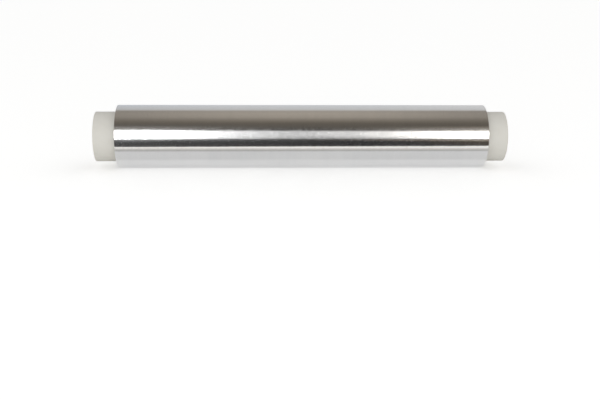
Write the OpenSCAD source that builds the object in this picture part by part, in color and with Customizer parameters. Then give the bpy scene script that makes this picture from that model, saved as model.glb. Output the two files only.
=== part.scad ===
// Catering roll of aluminium foil, wound on a paperboard core and lying on its side.
// The roll's axis runs along X, its front faces -Y, and Z = 0 is the surface it lies on.
// The origin is on that surface, under the middle of the core.

/* [Foil] */
// Width of the foil
foil_w = 450; // [200:1:600]
// Length of the foil on the roll, in metres
foil_len_m = 150; // [50:5:300]
// Thickness of the foil
foil_t = 0.011; // [0.01:0.001:0.02]
// Share of the winding that is metal, where the rest is air between its turns
winding_fill = 0.925; // [0.85:0.005:0.98]

/* [Winding] */
// Thickness of each band of turns that shows as a ridge on the end faces
band_t = 0.75; // [0.5:0.05:2]
// Depth of the grooves between the bands
band_groove = 0.15; // [0.05:0.05:0.3]
// How far the bands wander sideways from the middle of the foil
band_wander = 0.2; // [0:0.05:0.5]
// How far the free edge of the last turn stands off the turn below it
free_edge_lift = 0.3; // [0.1:0.05:0.6]
// Place of the free edge, in degrees from the front over the top to the back
free_edge_angle = 200; // [185:5:245]
// Width of the flat spot that the roll's own weight presses into its underside
flat_spot_w = 8; // [2:0.5:10]

/* [Core] */
// Bore of the core
core_bore_d = 55; // [40:0.5:80]
// Wall of the core
core_wall = 3; // [1.5:0.1:5]
// How far the core sticks out at each end of foil that is centred on it
core_overhang = 26; // [12:0.5:60]
// Chamfer on the edges of the core's ends
core_chamfer = 0.3; // [0.1:0.1:0.6]

/* [Fit] */
// Distance from the middle of the core to the middle of the foil, to the right
foil_shift = 0.9; // [-10:0.1:10]
// Room between the core and the first turn on it
core_clearance = 0.05; // [0.02:0.01:0.2]

/* [Hidden] */
$fn = 120;

// Room by which a cutting shape runs past what it cuts
past = 5;

core_bore_r = core_bore_d / 2;
core_r = core_bore_r + core_wall;
core_len = foil_w + 2 * core_overhang;

// The metal and the air between its turns fill the ring between the core and the outside
winding_bore_r = core_r + core_clearance;
winding_area = foil_len_m * 1000 * foil_t / winding_fill;
roll_r = sqrt(pow(winding_bore_r, 2) + winding_area / PI);

// The bands share out the thickness of the winding evenly
band_count = round((roll_r - winding_bore_r) / band_t);
band_pitch = (roll_r - winding_bore_r) / band_count;

// The half turn below the free edge is smaller, by as much as lets it meet the other smoothly in front
lower_r = roll_r - free_edge_lift / 2;
lower_shift = free_edge_lift / 2;

// Height of the roll's axis over the surface, with the flat spot on the half turn below
axis_z = sqrt(pow(lower_r, 2) - pow(flat_spot_w / 2, 2)) + lower_shift * sin(free_edge_angle);

// Uneven steps for bands 0, 1, 2 and so on, from -band_wander to band_wander
golden_angle = 137.5;
function wander(band) = band_wander * sin(band * golden_angle);

// Radius of the inner edge of a band
function band_r(band) = winding_bore_r + band * band_pitch;

// One end face, from the bore to the outside: each band is a ridge with a groove before it.
// The foil is as wide in every turn, so a band that stands out at one end sinks in at the other.
// side is 1 for the right end and -1 for the left.
function end_face(side) = [
    for (band = [0:band_count - 1])
        each [
            [band_r(band), side * (foil_w / 2 - band_groove) + wander(band)],
            [band_r(band + 0.5), side * foil_w / 2 + wander(band)]
        ],
    [roll_r + past, side * (foil_w / 2 - band_groove) + wander(band_count - 1)]
];

function reversed(points) = [for (i = [len(points) - 1:-1:0]) points[i]];

// Turns the Z axis of what it holds into the roll's axis
module on_axis() {
    translate([0, 0, axis_z])
        rotate([0, 90, 0])
            children();
}

// Everything on the upper side of the plane through the axis and the free edge
module upper_half() {
    reach = roll_r + past;
    translate([-reach, 0])
        square([2 * reach, reach]);
}

// Outline of the roll across its axis, with the free edge to the right
module turn_outline() {
    intersection() {
        circle(r = roll_r);
        upper_half();
    }
    difference() {
        translate([-lower_shift, 0])
            circle(r = lower_r);
        upper_half();
    }
}

module core() {
    section = [
        [core_bore_r, core_len / 2 - core_chamfer],
        [core_bore_r + core_chamfer, core_len / 2],
        [core_r - core_chamfer, core_len / 2],
        [core_r, core_len / 2 - core_chamfer],
        [core_r, core_chamfer - core_len / 2],
        [core_r - core_chamfer, -core_len / 2],
        [core_bore_r + core_chamfer, -core_len / 2],
        [core_bore_r, core_chamfer - core_len / 2]
    ];
    color([0.83, 0.82, 0.78])
        on_axis()
            rotate_extrude()
                polygon(section);
}

module foil_winding() {
    length = foil_w + 2 * (band_wander + past);
    color([0.75, 0.76, 0.78])
        translate([foil_shift, 0, 0])
            intersection() {
                // The banded ring, which runs on past the outside of the roll
                on_axis()
                    rotate_extrude()
                        polygon(concat(end_face(1), reversed(end_face(-1))));

                // The last turn, with its free edge
                translate([-length / 2, 0, axis_z])
                    rotate([90, 0, 90])
                        linear_extrude(length)
                            rotate(180 - free_edge_angle)
                                turn_outline();

                // What lies above the surface
                translate([-length / 2, -roll_r - past, 0])
                    cube([length, 2 * (roll_r + past), 2 * (roll_r + past)]);
            }
}

core();
foil_winding();
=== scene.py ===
"""A catering roll of aluminium foil on its paperboard core, lying on a pale floor.

All lengths are in metres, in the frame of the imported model: X runs along the roll, the front
faces -Y and Z = 0 is the floor. A place round the roll is given as turn, an angle in degrees
from the front (0) over the top (90) to the back (180).
"""
import math

import bpy
import numpy as np
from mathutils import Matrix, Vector, noise
from mathutils.geometry import tessellate_polygon


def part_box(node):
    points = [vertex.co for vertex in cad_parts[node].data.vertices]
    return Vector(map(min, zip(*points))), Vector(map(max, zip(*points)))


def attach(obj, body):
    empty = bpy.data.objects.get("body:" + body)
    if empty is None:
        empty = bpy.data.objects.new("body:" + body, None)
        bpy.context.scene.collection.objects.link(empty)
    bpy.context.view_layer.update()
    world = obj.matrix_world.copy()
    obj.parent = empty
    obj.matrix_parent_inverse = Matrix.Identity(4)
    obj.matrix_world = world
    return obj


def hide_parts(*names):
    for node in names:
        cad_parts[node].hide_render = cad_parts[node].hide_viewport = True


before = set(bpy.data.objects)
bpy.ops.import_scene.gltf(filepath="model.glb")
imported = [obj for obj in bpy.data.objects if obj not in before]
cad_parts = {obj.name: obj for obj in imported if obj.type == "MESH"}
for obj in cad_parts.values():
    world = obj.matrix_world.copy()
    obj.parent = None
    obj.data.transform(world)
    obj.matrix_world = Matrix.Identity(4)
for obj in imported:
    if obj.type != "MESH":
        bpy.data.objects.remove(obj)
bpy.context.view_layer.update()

MM = 0.001

# The foil winding's sizes, from the frame
foil_low, foil_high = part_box("foil_winding")
ROLL_R = (foil_high.y - foil_low.y) / 2
AXIS_Z = foil_high.z - ROLL_R
FOIL_X = (foil_low.x + foil_high.x) / 2
CORE_GAP = 0.05 * MM
BAND_WANDER = 0.2 * MM
FOIL_HALF = (foil_high.x - foil_low.x) / 2 - BAND_WANDER

# The core's sizes, from the frame
core_low, core_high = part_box("core")
CORE_R = (core_high.z - core_low.z) / 2
CORE_HALF = (core_high.x - core_low.x) / 2
CORE_WALL = 3 * MM
BORE_R = CORE_R - CORE_WALL

# The two materials of a piece, by their place in its list: its outside, and its ends and bore
OUTSIDE = 0
CUT = 1

# Edges sharper than this break the smooth shading
SMOOTH_DEGREES = 40

# How far from both faces a rounding is halfway round, as a share of its radius
HALFWAY = 0.3

# How far each seed shifts the noise along its three axes
SEED_SHIFT = (17.3, -9.1, 4.7)


def seeded_noise(x, y, z, seed):
    """Smooth noise from about -1 to 1, the same in every run."""
    return noise.noise(Vector([c + shift * seed for c, shift in zip((x, y, z), SEED_SHIFT)]))


def noise_round(along, around, turn, seed):
    """Noise that meets itself after a full turn. It changes faster round the roll the larger
    around is."""
    a = math.radians(turn)
    return seeded_noise(along, math.cos(a) * around, math.sin(a) * around, seed)


def smoothstep(low, high, value):
    t = np.clip((np.asarray(value, float) - low) / (high - low), 0, 1)
    return float(t * t * (3 - 2 * t))


def place(x, r, turn):
    """The point at x along the roll, r from its axis and turn degrees round it."""
    a = math.radians(turn)
    return (x, -r * math.cos(a), AXIS_Z + r * math.sin(a))


def ring_quads(start, rings, count, closed=False):
    """Faces between rings of count points each, of which the first begins at start. If closed,
    the last ring joins the first."""
    quads = []
    for ring in range(rings if closed else rings - 1):
        here = start + ring * count
        there = start + (ring + 1) % rings * count
        for i in range(count):
            j = (i + 1) % count
            quads.append((here + i, there + i, there + j, here + j))
    return quads


def new_piece(name, points, faces, material_of_face, materials):
    mesh = bpy.data.meshes.new(name)
    mesh.from_pydata(points, [], faces)
    for material in materials:
        mesh.materials.append(material)
    mesh.polygons.foreach_set("material_index", material_of_face)
    mesh.polygons.foreach_set("use_smooth", [True] * len(faces))
    mesh.validate()
    mesh.update()
    mesh.set_sharp_from_angle(angle=math.radians(SMOOTH_DEGREES))
    piece = bpy.data.objects.new(name, mesh)
    bpy.context.scene.collection.objects.link(piece)
    return piece


# Shader helpers

class Shader:
    """A node material in the making, with short ways to add nodes and links."""

    def __init__(self, owner, output="ShaderNodeOutputMaterial"):
        """owner is the material, or the world, that the nodes are for."""
        owner.use_nodes = True
        self.owner = owner
        self.tree = owner.node_tree
        self.tree.nodes.clear()
        self.output = self.node(output)

    def node(self, kind, **settings):
        made = self.tree.nodes.new(kind)
        for key, value in settings.items():
            setattr(made, key, value)
        return made

    def feed(self, socket, value):
        """Links a socket to an input, or sets the input to a plain value."""
        if isinstance(value, bpy.types.NodeSocket):
            self.tree.links.new(value, socket)
        else:
            socket.default_value = value

    def coords(self, scale=(1, 1, 1)):
        """Places on the object, in metres, times a scale for each axis."""
        place_node = self.node("ShaderNodeTexCoord")
        mapping = self.node("ShaderNodeMapping")
        self.feed(mapping.inputs["Vector"], place_node.outputs["Object"])
        mapping.inputs["Scale"].default_value = scale
        return mapping.outputs["Vector"]

    def split(self, vector):
        """The outputs X, Y and Z of a vector."""
        made = self.node("ShaderNodeSeparateXYZ")
        self.feed(made.inputs[0], vector)
        return made.outputs

    def noise(self, vector, scale=1.0, detail=2.0, rough=0.5, dimensions="3D"):
        made = self.node("ShaderNodeTexNoise", noise_dimensions=dimensions)
        self.feed(made.inputs["W" if dimensions == "1D" else "Vector"], vector)
        made.inputs["Scale"].default_value = scale
        made.inputs["Detail"].default_value = detail
        made.inputs["Roughness"].default_value = rough
        return made.outputs["Fac"]

    def math(self, operation, a, b=0.0):
        made = self.node("ShaderNodeMath", operation=operation)
        for socket, value in zip(made.inputs, (a, b)):
            self.feed(socket, value)
        return made.outputs[0]

    def blend(self, a, b, shares):
        """a and b added up, each times its share."""
        parts = [self.math("MULTIPLY", value, share) for value, share in zip((a, b), shares)]
        return self.math("ADD", *parts)

    def apart(self, value, middle):
        """How far a value is from the middle, to either side."""
        return self.math("ABSOLUTE", self.math("SUBTRACT", value, middle))

    def remap(self, value, low, high, to_low, to_high):
        made = self.node("ShaderNodeMapRange")
        for socket, item in zip(made.inputs, (value, low, high, to_low, to_high)):
            self.feed(socket, item)
        return made.outputs["Result"]

    def ramp(self, value, stops):
        """A colour ramp. stops is a list of (place from 0 to 1, linear colour)."""
        made = self.node("ShaderNodeValToRGB")
        elements = made.color_ramp.elements
        while len(elements) < len(stops):
            elements.new(1.0)
        for element, (where, colour) in zip(elements, stops):
            element.position = where
            element.color = (*colour, 1.0)
        self.feed(made.inputs["Fac"], value)
        return made.outputs["Color"]

    def mix(self, share, a, b):
        made = self.node("ShaderNodeMix", data_type="RGBA")
        self.feed(made.inputs["Factor"], share)
        self.feed(made.inputs[6], a)
        self.feed(made.inputs[7], b)
        return made.outputs[2]

    def bump(self, height, distance, below=None):
        made = self.node("ShaderNodeBump")
        made.inputs["Strength"].default_value = 1.0
        made.inputs["Distance"].default_value = distance
        self.feed(made.inputs["Height"], height)
        if below is not None:
            self.feed(made.inputs["Normal"], below)
        return made.outputs["Normal"]

    def surface(self, **inputs):
        made = self.node("ShaderNodeBsdfPrincipled")
        for name, value in inputs.items():
            self.feed(made.inputs[name.replace("_", " ")], value)
        self.feed(self.output.inputs["Surface"], made.outputs["BSDF"])
        return self.owner


def rgb(red, green, blue):
    """Linear colour from display values of 0 to 255."""
    def linear(value):
        value /= 255
        return value / 12.92 if value <= 0.04045 else ((value + 0.055) / 1.055) ** 2.4
    return linear(red), linear(green), linear(blue)


def paint(red, green, blue):
    """The same with its alpha, for a colour input."""
    return (*rgb(red, green, blue), 1)


def new_material(name):
    return Shader(bpy.data.materials.new(name))


WHITE = (1, 1, 1, 1)
BLACK = (0, 0, 0, 1)

# Materials. A pattern is given as how often it changes in a metre along X, Y and Z, and a height
# as how far it stands out. A span is the part of a noise's values that its effect goes over.

NOISE_SPAN = (0.3, 0.7)

FOIL_LINES = (2600, 6, 6)
FOIL_STREAKS = (900, 14, 14)
FOIL_GRAIN = (800, 230, 230)
FOIL_CLOUDS = (14, 22, 22)
FOIL_PATCHES = (75, 12, 12)
FOIL_TINTS = ((0.885, 0.89, 0.895), (0.935, 0.935, 0.935))
GRAIN_ROUGH = (0.088, 0.182)
CLOUD_ROUGH = (-0.006, 0.006)
GRAIN_HEIGHT = 0.07 * MM
STREAK_HEIGHT = 0.022 * MM
LINE_HEIGHT = 0.008 * MM

# The blur is longer one way, and a quarter turn lays that way along the roll
FOIL_BLUR = 0.75
BLUR_TURN = 0.25
HAZE_ROUGH = 0.25
HAZE_IOR = 1.95


def foil_material():
    """Bright rolled foil. The rolling lines run round the roll, so it blurs along the roll. The
    coat is the faint haze that bright foil shows beside a strong light."""
    m = new_material("foil_bright")
    lines = m.noise(m.coords(FOIL_LINES), detail=3, rough=0.6)
    streaks = m.noise(m.coords(FOIL_STREAKS), detail=2, rough=0.55)
    grain = m.noise(m.coords(FOIL_GRAIN), detail=2, rough=0.55)
    clouds = m.noise(m.coords(FOIL_CLOUDS), detail=3)
    patches = m.noise(m.coords(FOIL_PATCHES), detail=3)
    shade = m.blend(streaks, patches, (0.5, 0.5))
    tint = m.ramp(shade, list(zip(NOISE_SPAN, FOIL_TINTS)))
    rough = m.math("ADD", m.remap(grain, *NOISE_SPAN, *GRAIN_ROUGH),
                   m.remap(clouds, *NOISE_SPAN, *CLOUD_ROUGH))
    normal = m.bump(grain, GRAIN_HEIGHT)
    normal = m.bump(streaks, STREAK_HEIGHT, below=normal)
    normal = m.bump(lines, LINE_HEIGHT, below=normal)
    tangent = m.node("ShaderNodeTangent", direction_type="RADIAL", axis="X")
    return m.surface(Base_Color=tint, Metallic=1.0, Roughness=rough, Anisotropic=FOIL_BLUR,
                     Anisotropic_Rotation=BLUR_TURN, Coat_Weight=1.0, Coat_Roughness=HAZE_ROUGH,
                     Coat_IOR=HAZE_IOR, Normal=normal, Tangent=tangent.outputs[0])


# The turns' shades, by how often they change in a metre outward
FINE_TURNS = 12000
BROAD_TURNS = 2500
TURN_SHARES = (0.6, 0.4)
TURN_TINTS = [(0.25, (0.42, 0.42, 0.42)), (0.5, (0.72, 0.725, 0.73)), (0.75, (0.9, 0.9, 0.905))]
TURN_SMUDGES = (40, 60, 60)
SMUDGE_ROUGH = (0.28, 0.42)
BROAD_HEIGHT = 0.10 * MM
FINE_HEIGHT = 0.035 * MM


def turns_material():
    """The end faces: edges of hundreds of turns, packed side by side."""
    m = new_material("foil_turns")
    from_axis = m.node("ShaderNodeVectorMath", operation="SUBTRACT")
    m.feed(from_axis.inputs[0], m.coords((0, 1, 1)))
    from_axis.inputs[1].default_value = (0, 0, AXIS_Z)
    radius = m.node("ShaderNodeVectorMath", operation="LENGTH")
    m.feed(radius.inputs[0], from_axis.outputs[0])
    r = radius.outputs["Value"]
    fine = m.noise(r, scale=FINE_TURNS, detail=2, dimensions="1D")
    broad = m.noise(r, scale=BROAD_TURNS, detail=3, dimensions="1D")
    smudge = m.noise(m.coords(TURN_SMUDGES), detail=4)
    tint = m.ramp(m.blend(fine, broad, TURN_SHARES), TURN_TINTS)
    rough = m.remap(smudge, *NOISE_SPAN, *SMUDGE_ROUGH)
    normal = m.bump(broad, BROAD_HEIGHT)
    normal = m.bump(fine, FINE_HEIGHT, below=normal)
    return m.surface(Base_Color=tint, Metallic=1.0, Roughness=rough, Normal=normal)


PAPER_FIBRES = (900, 2600, 2600)
PAPER_MOTTLE = (55, 70, 70)
PAPER_SPECKS = (1500, 1500, 1500)
PAPER_TINTS = (paint(225, 222, 213), paint(233, 231, 224))
SPECK_TINT = paint(168, 158, 138)
SPECK_SPAN = (0.68, 0.8)
SPECK_SHARE = 0.22
PAPER_FIBRE_SPAN = (0.2, 0.8)
PAPER_ROUGH = (0.55, 0.72)
MOTTLE_HEIGHT = 0.12 * MM
PAPER_FIBRE_HEIGHT = 0.02 * MM


def paper_material():
    """The core's outside: smooth off-white paper over board."""
    m = new_material("core_paper")
    fibres = m.noise(m.coords(PAPER_FIBRES), detail=4, rough=0.65)
    mottle = m.noise(m.coords(PAPER_MOTTLE), detail=4)
    speck = m.noise(m.coords(PAPER_SPECKS), detail=1)
    tint = m.mix(mottle, *PAPER_TINTS)
    tint = m.mix(m.remap(speck, *SPECK_SPAN, 0.0, SPECK_SHARE), tint, SPECK_TINT)
    rough = m.remap(fibres, *PAPER_FIBRE_SPAN, *PAPER_ROUGH)
    normal = m.bump(mottle, MOTTLE_HEIGHT)
    normal = m.bump(fibres, PAPER_FIBRE_HEIGHT, below=normal)
    return m.surface(Base_Color=tint, Roughness=rough, Normal=normal)


BOARD_FIBRES = (1400, 2200, 2200)
BOARD_MOTTLE = (90, 120, 120)
BOARD_TINTS = (paint(190, 180, 160), paint(209, 201, 183))
BOARD_FIBRE_TINT = paint(164, 152, 130)
BOARD_FIBRE_SPAN = (0.35, 0.7)
BOARD_FIBRE_SHARE = 0.5
BOARD_FIBRE_HEIGHT = 0.08 * MM
BOARD_ROUGH = 0.86


def board_material():
    """The core's cut ends and its bore: bare grey-brown board."""
    m = new_material("core_board")
    fibres = m.noise(m.coords(BOARD_FIBRES), detail=5, rough=0.7)
    mottle = m.noise(m.coords(BOARD_MOTTLE), detail=4)
    tint = m.mix(mottle, *BOARD_TINTS)
    fibre_share = m.remap(fibres, *BOARD_FIBRE_SPAN, 0.0, BOARD_FIBRE_SHARE)
    tint = m.mix(fibre_share, tint, BOARD_FIBRE_TINT)
    normal = m.bump(fibres, BOARD_FIBRE_HEIGHT)
    return m.surface(Base_Color=tint, Roughness=BOARD_ROUGH, Normal=normal)


# The foil

TURN_STEPS = 288
BARREL_STEPS = 120
RING_STEPS = 84

# The rounding of the barrel's rims, and the part of each end face that joins it to the rings
RIM = 0.25 * MM
RIM_FILL = 1.0 * MM

# The last turn ends in a free edge behind, where a lip as thin as SHEET stands off the turn
# below. It stands off by LIP_MEAN of its lift, give or take LIP_VARIES of it, and changes
# LIP_WAVES times in a metre.
FREE_EDGE_TURN = 200
FREE_EDGE_STEP = 0.3 * MM
LIP_DEGREES = 18
LIP_STEPS = 16
LIP_LIFT = 0.45 * MM
LIP_MEAN = 0.55
LIP_VARIES = 0.45
LIP_WAVES = 22
SHEET = 0.05 * MM

# How far the outside strays from round, as (height, changes in a metre along the roll, changes
# round it, seed): slack here and there, ripples, and uneven winding
WAVES = [(0.045 * MM, 14, 1.1, 1), (0.007 * MM, 60, 2.6, 2), (0.005 * MM, 90, 0.3, 3)]

# Degrees from straight below: up to the first, the roll's own weight presses the waves flat, and
# from the second on it leaves them as they are
REST_DEGREES = (8, 45)

# The bands of turns on the end faces, with a groove between them that is sharper the higher
# RIDGE_POWER is, and the steps between the turns. The shares leave room for the steps.
RIDGE_PITCH = 0.745 * MM
RIDGE_DEPTH = 0.15 * MM
RIDGE_POWER = 1.5
RIDGE_SHARE = 0.6
WANDER_SHARE = 0.9
GOLDEN_ANGLE = 137.5
STEP_PITCH = 0.17 * MM
STEP_HEIGHT = 0.09 * MM
STEP_AROUND = 0.7


def last_turn_r(s):
    """Radius of the last turn, s degrees from its free edge. It is one step smaller after a turn."""
    half = FREE_EDGE_STEP / 2
    a = math.radians(s)
    if s <= 180:
        return ROLL_R
    return -half * math.cos(a) + math.sqrt((ROLL_R - half) ** 2 - (half * math.sin(a)) ** 2)


def waves(x, turn):
    """How far the foil's surface strays from round, which is less where the roll rests."""
    stray = sum(height * noise_round(x * along, around, turn, seed)
                for height, along, around, seed in WAVES)
    down = -math.sin(math.radians(turn))
    from_below = math.degrees(math.acos(max(-1.0, min(1.0, down))))
    return stray * smoothstep(*REST_DEGREES, from_below)


def above_floor(r, turn):
    """r, or less where the flat spot under the roll cuts it off."""
    down = -math.sin(math.radians(turn))
    return r if down <= 0 else min(r, AXIS_Z / down)


def outer_loop():
    """Places round the outside, as (s, layer): the turn's face, the turn under the lip, and the
    underside of the lip, which closes the loop at the free edge."""
    face = [(360 * i / TURN_STEPS, "face") for i in range(TURN_STEPS + 1)]
    under = [(360 + LIP_DEGREES * i / LIP_STEPS, "under") for i in range(1, LIP_STEPS + 1)]
    back = [(LIP_DEGREES * (1 - i / LIP_STEPS), "back") for i in range(1, LIP_STEPS + 1)]
    return face + under + back


def loop_point(s, layer, x, inset):
    """A point of the outer loop at x, moved inset towards the axis."""
    turn = FREE_EDGE_TURN - s
    if layer == "under":
        near = smoothstep(360, 360 + LIP_DEGREES, s)
        r = (ROLL_R - FREE_EDGE_STEP) * (1 - near) + (ROLL_R - SHEET) * near
    else:
        r = last_turn_r(s)
        if s < LIP_DEGREES:
            share = (1 - s / LIP_DEGREES) ** 2
            uneven = LIP_MEAN + LIP_VARIES * seeded_noise(x * LIP_WAVES, 0, 0, seed=5)
            r += share * LIP_LIFT * uneven
        if layer == "back":
            r -= SHEET
    r = above_floor(r - inset + waves(x, turn), turn)
    return place(x, r, turn)


def barrel_rows():
    """The barrel from rim to rim, as (x from the foil's middle, inset where a rim is rounded)."""
    rim = [(FOIL_HALF - 2 * RIM, 0.0), (FOIL_HALF - RIM, 0.0),
           (FOIL_HALF - HALFWAY * RIM, HALFWAY * RIM), (FOIL_HALF, RIM)]
    barrel = np.linspace(4 * RIM - FOIL_HALF, FOIL_HALF - 4 * RIM, BARREL_STEPS)
    return [(-x, inset) for x, inset in reversed(rim)] + [(x, 0.0) for x in barrel] + rim


def end_x(side, r, turn):
    """Where the end face lies. The foil is one long strip, so along it the edge wanders in and
    out slowly, and from one turn to the next it steps by a little."""
    across = (r - CORE_R - CORE_GAP) / RIDGE_PITCH - turn / 360
    along = math.floor(across) + turn / 360
    ridge = RIDGE_DEPTH * abs(2 * (across % 1) - 1) ** RIDGE_POWER
    wander = BAND_WANDER * math.sin(math.radians(GOLDEN_ANGLE * along))
    step = STEP_HEIGHT * noise_round(r / STEP_PITCH, STEP_AROUND, turn, seed=7)
    return FOIL_X + side * (FOIL_HALF - RIDGE_SHARE * ridge - abs(step)) + WANDER_SHARE * wander


def rim_triangles(points, rim, ring, side):
    """Triangles that fill an end face between its last ring and the barrel's rim."""
    flat = [[Vector((points[i][1], points[i][2], 0)) for i in part] for part in (rim, ring)]
    both = rim + ring
    triangles = []
    for triangle in tessellate_polygon(flat):
        a, b, c = (both[i] for i in triangle)
        pa, pb, pc = (Vector(points[i]) for i in (a, b, c))
        outward = (pb - pa).cross(pc - pa).x * side > 0
        triangles.append((a, b, c) if outward else (a, c, b))
    return triangles


def make_foil(materials):
    loop = outer_loop()
    count = len(loop)
    rows = barrel_rows()
    points = [loop_point(s, layer, FOIL_X + x, inset) for x, inset in rows for s, layer in loop]
    faces = ring_quads(0, len(rows), count)
    kinds = [OUTSIDE] * len(faces)

    # The end faces, ring by ring from the bore
    ring_r = np.linspace(CORE_R + CORE_GAP, ROLL_R - RIM_FILL, RING_STEPS)
    turns = [360 * i / TURN_STEPS for i in range(TURN_STEPS)]
    bores = []
    for side, rim_start in ((-1, 0), (1, (len(rows) - 1) * count)):
        start = len(points)
        bores.append(start)
        points += [place(end_x(side, r, turn), r, turn) for r in ring_r for turn in turns]
        quads = ring_quads(start, RING_STEPS, TURN_STEPS)
        faces += quads if side < 0 else [quad[::-1] for quad in quads]
        rim = list(range(rim_start, rim_start + count))
        last_ring = list(range(len(points) - TURN_STEPS, len(points)))
        faces += rim_triangles(points, rim, last_ring, side)

    # The bore, which the core fills
    left, right = bores
    for i in range(TURN_STEPS):
        j = (i + 1) % TURN_STEPS
        faces.append((left + i, left + j, right + j, right + i))
    kinds += [CUT] * (len(faces) - len(kinds))
    return new_piece("foil", points, faces, kinds, materials)


# The core

CORE_STEPS = 240
CORE_ROWS = 60
CORE_ROUNDING = 0.3 * MM

# The plies that show on its cut ends, and how rough the cut is, by its height and how fast it
# changes round the tube and outward
PLY = 0.5 * MM
PLY_GROOVE = 0.05 * MM
PLY_STEPS = 4
CUT_HEIGHT = 0.04 * MM
CUT_AROUND = 60
CUT_OUTWARD = 900

# How uneven the tube is, in the same way
TUBE_HEIGHT = 0.05 * MM
TUBE_ALONG = 9
TUBE_AROUND = 1.4


def core_section():
    """The tube's section as (x, r), all round from the right end of the outside."""
    steps = round(CORE_WALL / PLY) * PLY_STEPS
    corner = HALFWAY * CORE_ROUNDING
    end = [(CORE_HALF - CORE_ROUNDING, CORE_R), (CORE_HALF - corner, CORE_R - corner)]
    end += [(CORE_HALF, CORE_R - CORE_WALL * k / steps) for k in range(1, steps)]
    end += [(CORE_HALF - corner, BORE_R + corner), (CORE_HALF - CORE_ROUNDING, BORE_R)]
    along = np.linspace(CORE_HALF - CORE_ROUNDING, CORE_ROUNDING - CORE_HALF, CORE_ROWS)[1:-1]
    bore = [(x, BORE_R) for x in along]
    outside = [(-x, CORE_R) for x in along]
    return end + bore + [(-x, r) for x, r in reversed(end)] + outside


def core_point(x, r, turn):
    """A point of the core: its cut ends show the plies, wound as a spiral, and are a little rough."""
    if abs(x) > CORE_HALF - CORE_ROUNDING / 2:
        a = math.radians(turn)
        ply = (CORE_R - r) / PLY + turn / 360
        groove = PLY_GROOVE * abs(2 * (ply % 1) - 1)
        rough = CUT_HEIGHT * seeded_noise(math.cos(a) * CUT_AROUND, math.sin(a) * CUT_AROUND,
                                          r * CUT_OUTWARD, seed=11)
        x -= math.copysign(groove + rough, x)
    r += TUBE_HEIGHT * noise_round(x * TUBE_ALONG, TUBE_AROUND, turn, seed=12)
    return place(x, r, turn)


def make_core(materials):
    section = core_section()
    turns = [360 * i / CORE_STEPS for i in range(CORE_STEPS)]
    points = [core_point(x, r, turn) for turn in turns for x, r in section]
    faces = ring_quads(0, CORE_STEPS, len(section), closed=True)
    radii = [r for x, r in section]
    sides = zip(radii, radii[1:] + radii[:1])
    kinds = [OUTSIDE if min(pair) == CORE_R else CUT for pair in sides] * CORE_STEPS
    return new_piece("core_tube", points, faces, kinds, materials)


# The studio

CAMERA_PLACE = (-0.04659, -1.13953, 0.27902)
CAMERA_TURN = (74.207, -0.435, -2.190)
CAMERA_LENS = 56.35
CAMERA_SENSOR = 36

# The floor as the camera sees it and as it lights matt things, and how much it glows by itself
# for the camera and in the foil
FLOOR_SIZE = 16
FLOOR_COLOUR = (0.86, 0.86, 0.855, 1)
FLOOR_BOUNCE = (0.98, 0.98, 0.97, 1)
FLOOR_LIFT = 0.53
TABLE_LIFT = 0.32

# The floor as the foil mirrors it, a painted reflection that only glossy rays see: a table, as
# (share of its depth, level, warmth), up to its front edge
TABLE_NEAR = -0.03
TABLE_FAR = -0.10
TABLE_LEVELS = [(0.0, 0.80, 0), (0.09, 0.69, 0), (0.47, 0.68, 0), (0.57, 0.41, 0.3),
                (0.68, 0.56, 0.5), (0.80, 0.69, 0.5), (0.93, 0.98, 0.5)]
TABLE_EDGE = -0.1097
TABLE_EDGE_BLUR = 0.002
TABLE_SKEW = 0.025

# Beyond the table, the foil mirrors the floor painted dark, darkest near DARK_X and warmer to the
# right, with a painted spill of light on it to both sides of SPILL_X
DARK_X = 0.08
DARK_REACH = (0.0, 0.35)
DARK_LEVELS = (0.028, 0.063)
WARM_REACH = (0.16, 0.26)
WARM_TINT = (1.5, 1.25, 1.0, 1)
SPILL_X = 0.035
SPILL_REACH = (0.235, 0.34)
SPILL_DEPTH = (-0.16, -0.5)
SPILL_LEVEL = 0.12

# The softboxes that the foil mirrors stand side by side behind the camera, and meet at GAP_X.
# A reach is the distance from there over which the glow rises to the level named after it.
SOFTBOX_Y = -1.6
SOFTBOX_LOW = 0.126
SOFTBOX_HIGH = 1.168
SOFTBOX_TILT = 0.155
SOFTBOX_WIDTH = 1.6
GAP_X = 0.09
GAP_GLOW = 0.32
NEAR_REACH = (0.0, 0.33)
NEAR_GLOW = 0.93
FAR_REACH = (0.415, 0.56)
FAR_GLOW = 7.0

# They fade towards the top, and towards the bottom, most of all near DIP_X
TOP_FADE = (1.0, SOFTBOX_HIGH)
TOP_SHARE = 0.15
LOW_FADE = (SOFTBOX_LOW, 0.48)
DIP_X = 0.22
DIP_REACH = (0.0, 0.45)
DIP_SHARES = (0.43, 0.96)

# The right one against the left one, as (X, share of its glow, warmth)
RIGHT_LEVELS = [(0.13, 1.0, 0), (0.20, 1.26, 0.1), (0.25, 1.24, 0.15), (0.31, 1.16, 0.3),
                (0.37, 0.9, 0.5)]

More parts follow.
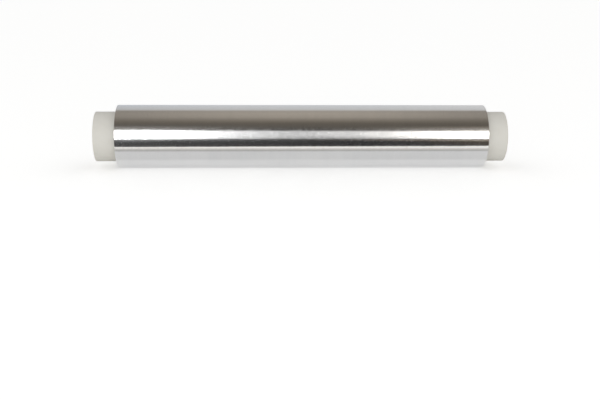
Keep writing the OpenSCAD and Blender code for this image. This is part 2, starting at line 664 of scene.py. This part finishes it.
# The room that the foil mirrors, by degrees up from the front (0) over the top (90) to the back
# (180), as (degrees, level from 0 to 255, warmth). What is ahead goes over to what is at the left
# or right between the two distances of ASIDE_REACH, from a direction's X to ASIDE_MIDDLE.
ROOM_AHEAD = [(0, 50, 0), (36, 38, 0.7), (43, 64, 1), (50, 79, 1), (61, 88, 1.2), (73, 115, 1.1),
              (86, 142, 0.9), (103, 149, 0.9), (117, 144, 0.75), (122, 166, 0.4), (128, 185, 0),
              (180, 198, -0.2)]
ROOM_ASIDE = [(61, 88, 1.2), (73, 101, 1), (86, 121, 0.85), (103, 126, 0.8), (117, 121, 0.8)]
ROOM_LEFT = [(0, 58, 0), (36, 166, 0.35), (45, 123, 0.5), (51, 84, 0.8), *ROOM_ASIDE,
             (122, 157, 0.3), (128, 178, 0), (180, 191, -0.4)]
ROOM_RIGHT = [(0, 58, 0), (36, 165, 0.6), (45, 110, 1.2), (51, 80, 1.2), *ROOM_ASIDE,
              (122, 166, 0.3), (128, 190, 0), (180, 201, 0)]
ASIDE_REACH = (0.07, 0.19)
ASIDE_MIDDLE = 0.04

# How much of the room's light the foil gives back, and the even light that matt things get
FOIL_SHARE = 0.9
ROOM_LIGHT = (0.62, 0.62, 0.62, 1)

# The lamp on the matt things, from the softboxes' side
KEY_PLACE = (-0.02, -1.6, 0.24)
KEY_SIZE = (1.7, 0.4)
KEY_WATTS = 9.0


def stage_plane(name, corners, material):
    mesh = bpy.data.meshes.new(name)
    mesh.from_pydata(corners, [], [(0, 1, 2, 3)])
    mesh.materials.append(material)
    plane = bpy.data.objects.new(name, mesh)
    bpy.context.scene.collection.objects.link(plane)
    return plane


def warmed(level, warmth):
    """A grey with as much warmth, from 0 to 1 or so, or cool below 0."""
    return level * (1 + 0.06 * warmth), level, level * (1 - 0.08 * warmth)


def floor_material():
    """A plain pale floor. Glossy rays see a painted reflection on it: a table whose front edge is
    close to the roll.
    """
    m = new_material("floor_pale")
    light_path = m.node("ShaderNodeLightPath")
    axes = m.split(m.coords())
    x, y = axes["X"], axes["Y"]

    # The painted reflection: the table, and beyond its edge the floor painted dark with a painted
    # spill of light
    share = m.remap(y, TABLE_NEAR, TABLE_FAR, 0.0, 1.0)
    table = m.ramp(share, [(depth, warmed(level, warmth)) for depth, level, warmth in TABLE_LEVELS])
    # Painted shade and painted light that only the foil mirrors: the floor painted dark, with a
    # painted spill of light
    dark = m.remap(m.apart(x, DARK_X), *DARK_REACH, *DARK_LEVELS)
    spill = m.math("MULTIPLY", m.remap(y, *SPILL_DEPTH, 0.0, SPILL_LEVEL),
                   m.remap(m.apart(x, SPILL_X), *SPILL_REACH, 0.0, 1.0))
    skewed = m.math("ADD", y, m.math("MULTIPLY", x, TABLE_SKEW))
    beyond = m.remap(skewed, TABLE_EDGE + TABLE_EDGE_BLUR, TABLE_EDGE - TABLE_EDGE_BLUR, 0.0, 1.0)
    tint = m.mix(m.remap(x, *WARM_REACH, 0.0, 1.0), WHITE, WARM_TINT)
    painted_dark_floor = m.mix(m.math("ADD", dark, spill), BLACK, tint)
    painted_reflection = m.mix(beyond, table, painted_dark_floor)

    seen = m.mix(light_path.outputs["Is Diffuse Ray"], FLOOR_COLOUR, FLOOR_BOUNCE)
    # Glossy rays see the painted reflection in place of the pale floor
    seen = m.mix(light_path.outputs["Is Glossy Ray"], seen, painted_reflection)
    diffuse = m.node("ShaderNodeBsdfDiffuse")
    m.feed(diffuse.inputs["Color"], seen)
    lift = m.node("ShaderNodeEmission")
    m.feed(lift.inputs["Color"], seen)
    m.feed(lift.inputs["Strength"],
           m.blend(light_path.outputs["Is Camera Ray"], light_path.outputs["Is Glossy Ray"],
                   (FLOOR_LIFT, TABLE_LIFT)))
    both = m.node("ShaderNodeAddShader")
    m.feed(both.inputs[0], diffuse.outputs[0])
    m.feed(both.inputs[1], lift.outputs[0])
    m.feed(m.output.inputs["Surface"], both.outputs[0])
    return m.owner


def softbox_material():
    """Two softboxes side by side: dim where they meet, bright at the far sides."""
    m = new_material("softbox_glow")
    axes = m.split(m.coords())
    x, z = axes["X"], axes["Z"]
    from_gap = m.apart(x, GAP_X)
    glow = m.math("ADD", m.remap(from_gap, *NEAR_REACH, GAP_GLOW, NEAR_GLOW),
                  m.remap(from_gap, *FAR_REACH, 0.0, FAR_GLOW - NEAR_GLOW))
    low_share = m.remap(z, *LOW_FADE, m.remap(m.apart(x, DIP_X), *DIP_REACH, *DIP_SHARES), 1.0)
    lowered = m.remap(x, -SOFTBOX_WIDTH / 2, SOFTBOX_WIDTH / 2, 0.0, SOFTBOX_TILT)
    top_share = m.remap(m.math("ADD", z, lowered), *TOP_FADE, 1.0, TOP_SHARE)
    glow = m.math("MULTIPLY", glow, m.math("MULTIPLY", low_share, top_share))
    emit = m.node("ShaderNodeEmission")
    m.feed(emit.inputs["Color"],
           m.ramp(x, [(where, warmed(level, warmth)) for where, level, warmth in RIGHT_LEVELS]))
    m.feed(emit.inputs["Strength"], glow)
    m.feed(m.output.inputs["Surface"], emit.outputs[0])
    return m.owner


def make_stage():
    half = FLOOR_SIZE / 2
    stage_plane("floor", [(-half, -half, 0), (half, -half, 0), (half, half, 0), (-half, half, 0)],
                floor_material())
    wide = SOFTBOX_WIDTH / 2
    corners = [(-wide, SOFTBOX_Y, SOFTBOX_LOW), (-wide, SOFTBOX_Y, SOFTBOX_HIGH),
               (wide, SOFTBOX_Y, SOFTBOX_HIGH - SOFTBOX_TILT), (wide, SOFTBOX_Y, SOFTBOX_LOW)]
    box = stage_plane("softbox", corners, softbox_material())
    box.visible_camera = False
    box.visible_diffuse = False


def make_key_light():
    light = bpy.data.lights.new("key", "AREA")
    light.shape = "RECTANGLE"
    light.size, light.size_y = KEY_SIZE
    light.energy = KEY_WATTS
    holder = bpy.data.objects.new("key", light)
    holder.location = KEY_PLACE
    holder.rotation_euler = (-Vector(KEY_PLACE)).to_track_quat("-Z", "Y").to_euler()
    holder.visible_glossy = False
    bpy.context.scene.collection.objects.link(holder)


def room_stops(room):
    """Ramp stops of linear colours, from the levels that the room shows at in the foil."""
    return [(degrees / 180, tuple(c / FOIL_SHARE for c in rgb(*warmed(level, warmth))))
            for degrees, level, warmth in room]


def make_surroundings():
    """The room as the foil mirrors it. The camera sees it white, and matt things get an even
    light."""
    world = bpy.data.worlds.new("room")
    bpy.context.scene.world = world
    m = Shader(world, "ShaderNodeOutputWorld")
    axes = m.split(m.node("ShaderNodeTexCoord").outputs["Generated"])
    turn = m.math("ARCTAN2", axes["Z"], m.math("MULTIPLY", axes["Y"], -1.0))
    share = m.remap(turn, 0.0, math.pi, 0.0, 1.0)
    left, ahead, right = (m.ramp(share, room_stops(room))
                          for room in (ROOM_LEFT, ROOM_AHEAD, ROOM_RIGHT))
    from_middle = m.math("SUBTRACT", axes["X"], ASIDE_MIDDLE)
    aside = m.mix(m.math("GREATER_THAN", from_middle, 0.0), left, right)
    glow = m.mix(m.remap(m.math("ABSOLUTE", from_middle), *ASIDE_REACH, 0.0, 1.0), ahead, aside)
    light_path = m.node("ShaderNodeLightPath")
    seen = m.mix(light_path.outputs["Is Diffuse Ray"], glow, ROOM_LIGHT)
    seen = m.mix(light_path.outputs["Is Camera Ray"], seen, WHITE)
    background = m.node("ShaderNodeBackground")
    m.feed(background.inputs["Color"], seen)
    m.feed(m.output.inputs["Surface"], background.outputs[0])


def make_camera():
    camera = bpy.data.cameras.new("camera")
    camera.lens = CAMERA_LENS
    camera.sensor_width = CAMERA_SENSOR
    holder = bpy.data.objects.new("camera", camera)
    holder.location = CAMERA_PLACE
    holder.rotation_euler = [math.radians(angle) for angle in CAMERA_TURN]
    bpy.context.scene.collection.objects.link(holder)
    bpy.context.scene.camera = holder


make_camera()
make_surroundings()
make_stage()
make_key_light()
bpy.context.scene.view_settings.view_transform = "Standard"

foil = make_foil([foil_material(), turns_material()])
core = make_core([paper_material(), board_material()])
for piece, node in ((foil, "foil_winding"), (core, "core")):
    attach(piece, "root")
    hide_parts(node)
